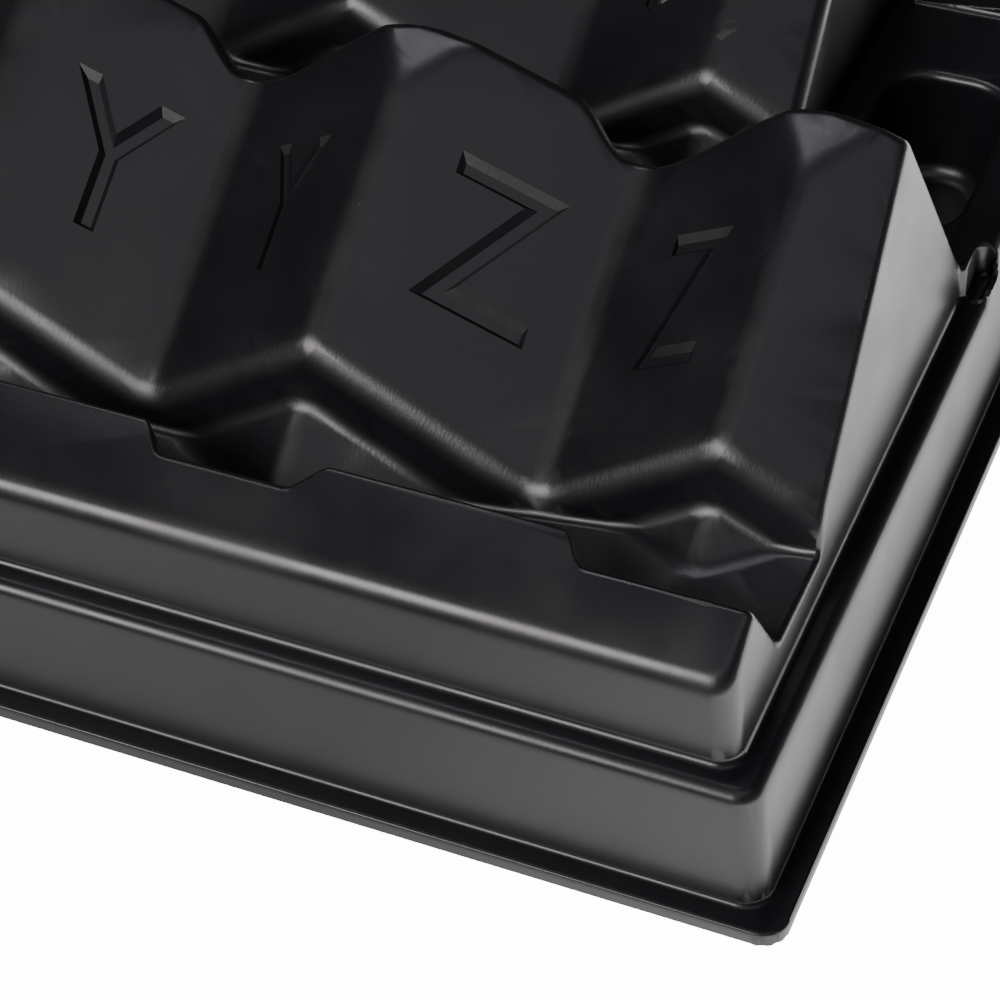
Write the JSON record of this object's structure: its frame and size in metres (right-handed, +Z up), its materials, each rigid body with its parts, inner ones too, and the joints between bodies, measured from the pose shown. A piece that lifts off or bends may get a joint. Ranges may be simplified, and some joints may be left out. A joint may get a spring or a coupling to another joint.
{
  "type": "card sorting tray",
  "caption": "one-piece thermoformed tray that sorts playing cards onto sloping saw-tooth beds in staggered rows, with finger channels and side pockets",
  "frame": {"origin": "centre of the tray's bounding box, on the table", "axes": "+X along the long front rail to the right, +Y from the front rail to the back row, +Z up"},
  "size_m": [0.8506, 0.656, 0.1115],
  "materials": {
    "shell": "black thermoformed sheet, semi-gloss, with fine tool marks"
  },
  "bodies": {
    "root": {"tray": "shell"}
  },
  "joints": []
}
